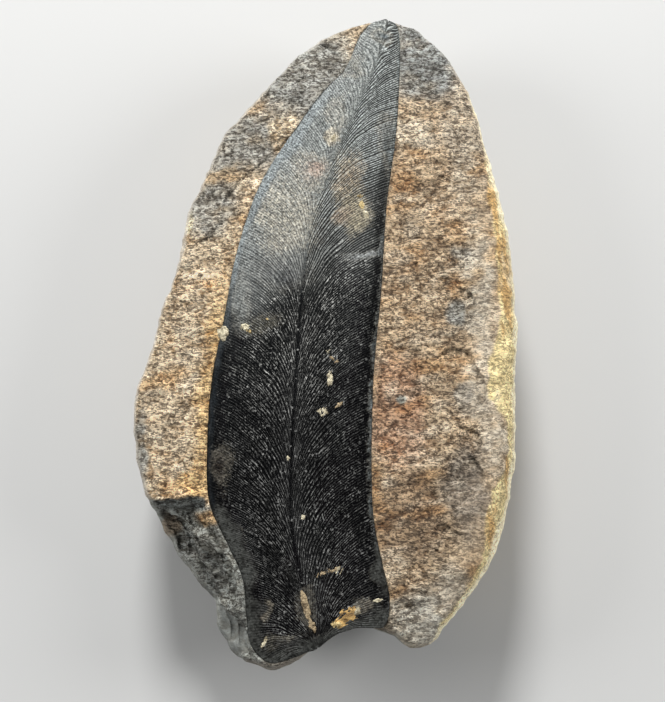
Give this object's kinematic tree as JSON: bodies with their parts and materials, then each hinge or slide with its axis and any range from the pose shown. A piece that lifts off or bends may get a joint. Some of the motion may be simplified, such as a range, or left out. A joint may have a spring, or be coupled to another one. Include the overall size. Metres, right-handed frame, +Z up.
{
  "type": "fossil leaf plate",
  "caption": "Half of a split ironstone concretion lying on its domed back, with a long black seed-fern leaf pressed on its face.",
  "frame": {"origin": "under the middle of the plate's bounding box, on the surface that it lies on", "axes": "+Y towards the leaf tip along the plate's length, +X across it, +Z up out of the leaf face"},
  "size_m": [0.0589, 0.1028, 0.0196],
  "materials": {
    "ironstone": "matt, grainy, tan to grey with an ochre weathered rim",
    "leaf_film": "satin black coaly film with fine raised veins, greyer towards the tip"
  },
  "bodies": {
    "root": {"fossil_plate": "ironstone"}
  },
  "joints": []
}
